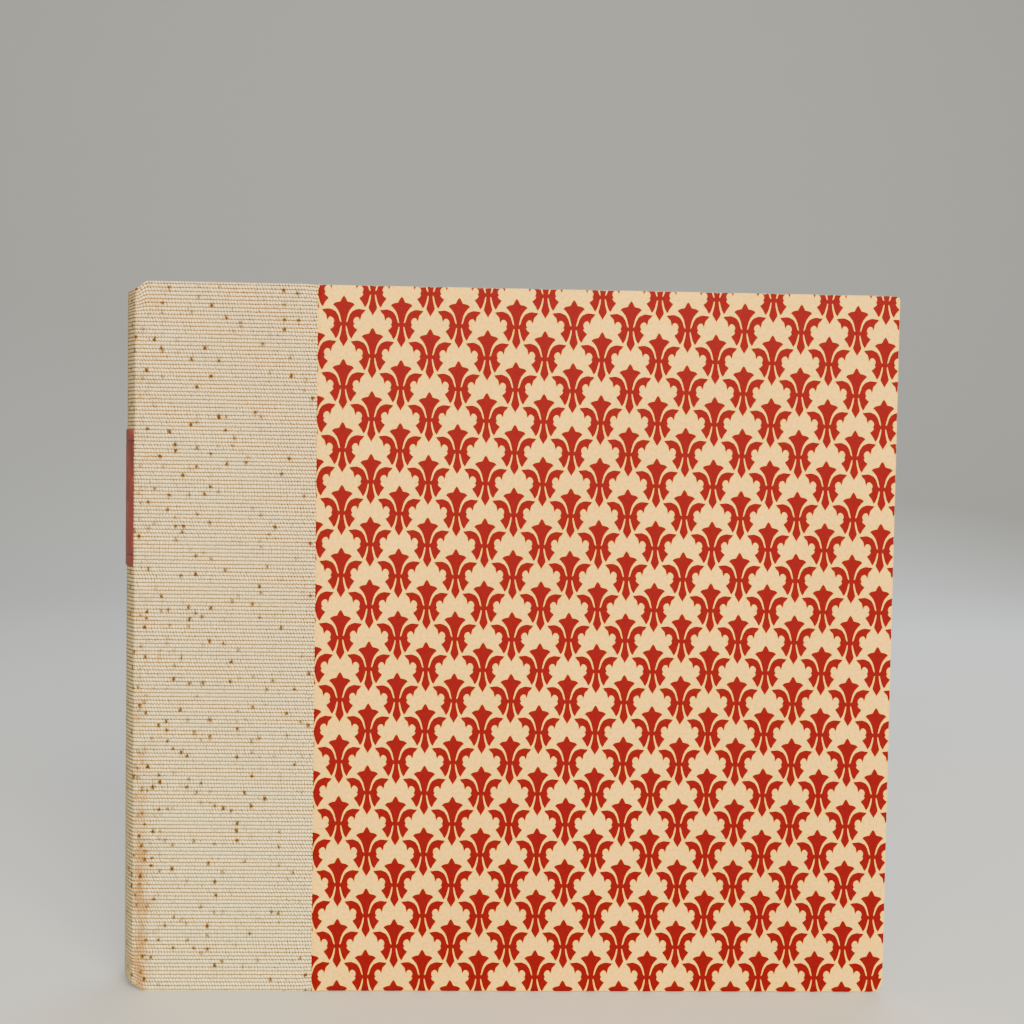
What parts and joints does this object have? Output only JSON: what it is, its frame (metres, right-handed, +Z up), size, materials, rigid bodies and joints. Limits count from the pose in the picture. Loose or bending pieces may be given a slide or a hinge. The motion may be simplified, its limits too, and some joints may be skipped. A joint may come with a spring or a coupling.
{
  "type": "scrapbook album",
  "caption": "Upright album with a rounded cloth spine, quarter cloth and patterned paper boards that open, and turning card leaves on guards.",
  "frame": {"origin": "centre of the album's footprint, on the plane that its tail edges stand on", "axes": "+X from the spine to the fore edge, -Y out of the front cover, +Z up from tail to head"},
  "size_m": [0.3346, 0.0352, 0.305],
  "materials": {
    "grey_board": "matte",
    "ribbed_cloth": "matte woven",
    "patterned_paper": "matte printed",
    "gauze": "open weave",
    "card": "matte",
    "endpaper": "matte",
    "kraft_paper": "matte",
    "label_leather": "worn satin",
    "leaf_card": "matte",
    "linen_thread": "waxed",
    "silk_band": "satin"
  },
  "bodies": {
    "book_block": {"spine_cloth": "ribbed_cloth", "spine_liner": "card", "hollow_tube": "kraft_paper", "mull": "gauze", "spine_label": "label_leather", "leaf_stubs": "leaf_card", "guards": "leaf_card", "sewing_thread": "linen_thread", "headband": "silk_band", "tailband": "silk_band", "front_flyleaf_tab": "endpaper", "back_flyleaf_tab": "endpaper"},
    "front_cover": {"front_board": "grey_board", "front_cloth": "ribbed_cloth", "front_paper": "patterned_paper", "front_mull_flange": "gauze", "front_infill": "card", "front_pastedown": "endpaper"},
    "back_cover": {"back_board": "grey_board", "back_cloth": "ribbed_cloth", "back_paper": "patterned_paper", "back_mull_flange": "gauze", "back_infill": "card", "back_pastedown": "endpaper"},
    "front_flyleaf": {"front_flyleaf": "endpaper"},
    "back_flyleaf": {"back_flyleaf": "endpaper"},
    "leaf_01": {"leaf_01": "leaf_card"},
    "leaf_02": {"leaf_02": "leaf_card"},
    "leaf_03": {"leaf_03": "leaf_card"},
    "leaf_04": {"leaf_04": "leaf_card"},
    "leaf_05": {"leaf_05": "leaf_card"},
    "leaf_06": {"leaf_06": "leaf_card"},
    "leaf_07": {"leaf_07": "leaf_card"},
    "leaf_08": {"leaf_08": "leaf_card"},
    "leaf_09": {"leaf_09": "leaf_card"},
    "leaf_10": {"leaf_10": "leaf_card"},
    "leaf_11": {"leaf_11": "leaf_card"},
    "leaf_12": {"leaf_12": "leaf_card"}
  },
  "joints": [
    {"name": "front_cover_hinge", "type": "hinge", "parent": "book_block", "child": "front_cover", "pos_m": [-0.15975, -0.01745, 0.1525], "axis": [0, 0, -1], "range_deg": [0, 180]},
    {"name": "front_flyleaf_hinge", "type": "hinge", "parent": "book_block", "child": "front_flyleaf", "pos_m": [-0.14575, -0.01307, 0.1525], "axis": [0, 0, -1], "range_deg": [0, 135]},
    {"name": "back_cover_hinge", "type": "hinge", "parent": "book_block", "child": "back_cover", "pos_m": [-0.15975, 0.01745, 0.1525], "axis": [0, 0, 1], "range_deg": [0, 180]},
    {"name": "back_flyleaf_hinge", "type": "hinge", "parent": "book_block", "child": "back_flyleaf", "pos_m": [-0.14575, 0.01307, 0.1525], "axis": [0, 0, 1], "range_deg": [0, 135]},
    {"name": "leaf_01_hinge", "type": "hinge", "parent": "book_block", "child": "leaf_01", "pos_m": [-0.13575, -0.011, 0.1525], "axis": [0, 0, -1], "range_deg": [0, 54]},
    {"name": "leaf_02_hinge", "type": "hinge", "parent": "book_block", "child": "leaf_02", "pos_m": [-0.13575, -0.009, 0.1525], "axis": [0, 0, -1], "range_deg": [0, 46]},
    {"name": "leaf_03_hinge", "type": "hinge", "parent": "book_block", "child": "leaf_03", "pos_m": [-0.13575, -0.007, 0.1525], "axis": [0, 0, -1], "range_deg": [0, 38]},
    {"name": "leaf_04_hinge", "type": "hinge", "parent": "book_block", "child": "leaf_04", "pos_m": [-0.13575, -0.005, 0.1525], "axis": [0, 0, -1], "range_deg": [0, 30]},
    {"name": "leaf_05_hinge", "type": "hinge", "parent": "book_block", "child": "leaf_05", "pos_m": [-0.13575, -0.003, 0.1525], "axis": [0, 0, -1], "range_deg": [0, 22]},
    {"name": "leaf_06_hinge", "type": "hinge", "parent": "book_block", "child": "leaf_06", "pos_m": [-0.13575, -0.001, 0.1525], "axis": [0, 0, -1], "range_deg": [0, 14]},
    {"name": "leaf_07_hinge", "type": "hinge", "parent": "book_block", "child": "leaf_07", "pos_m": [-0.13575, 0.001, 0.1525], "axis": [0, 0, 1], "range_deg": [0, 14]},
    {"name": "leaf_08_hinge", "type": "hinge", "parent": "book_block", "child": "leaf_08", "pos_m": [-0.13575, 0.003, 0.1525], "axis": [0, 0, 1], "range_deg": [0, 22]},
    {"name": "leaf_09_hinge", "type": "hinge", "parent": "book_block", "child": "leaf_09", "pos_m": [-0.13575, 0.005, 0.1525], "axis": [0, 0, 1], "range_deg": [0, 30]},
    {"name": "leaf_10_hinge", "type": "hinge", "parent": "book_block", "child": "leaf_10", "pos_m": [-0.13575, 0.007, 0.1525], "axis": [0, 0, 1], "range_deg": [0, 38]},
    {"name": "leaf_11_hinge", "type": "hinge", "parent": "book_block", "child": "leaf_11", "pos_m": [-0.13575, 0.009, 0.1525], "axis": [0, 0, 1], "range_deg": [0, 46]},
    {"name": "leaf_12_hinge", "type": "hinge", "parent": "book_block", "child": "leaf_12", "pos_m": [-0.13575, 0.011, 0.1525], "axis": [0, 0, 1], "range_deg": [0, 54]}
  ],
  "couplings": [
    {"joint": "front_flyleaf_hinge", "follows": "front_cover_hinge", "ratio": 0.75},
    {"joint": "back_flyleaf_hinge", "follows": "back_cover_hinge", "ratio": 0.75},
    {"joint": "leaf_01_hinge", "follows": "front_cover_hinge", "ratio": 0.3},
    {"joint": "leaf_02_hinge", "follows": "front_cover_hinge", "ratio": 0.25556},
    {"joint": "leaf_03_hinge", "follows": "front_cover_hinge", "ratio": 0.21111},
    {"joint": "leaf_04_hinge", "follows": "front_cover_hinge", "ratio": 0.16667},
    {"joint": "leaf_05_hinge", "follows": "front_cover_hinge", "ratio": 0.12222},
    {"joint": "leaf_06_hinge", "follows": "front_cover_hinge", "ratio": 0.077778},
    {"joint": "leaf_07_hinge", "follows": "back_cover_hinge", "ratio": 0.077778},
    {"joint": "leaf_08_hinge", "follows": "back_cover_hinge", "ratio": 0.12222},
    {"joint": "leaf_09_hinge", "follows": "back_cover_hinge", "ratio": 0.16667},
    {"joint": "leaf_10_hinge", "follows": "back_cover_hinge", "ratio": 0.21111},
    {"joint": "leaf_11_hinge", "follows": "back_cover_hinge", "ratio": 0.25556},
    {"joint": "leaf_12_hinge", "follows": "back_cover_hinge", "ratio": 0.3}
  ]
}
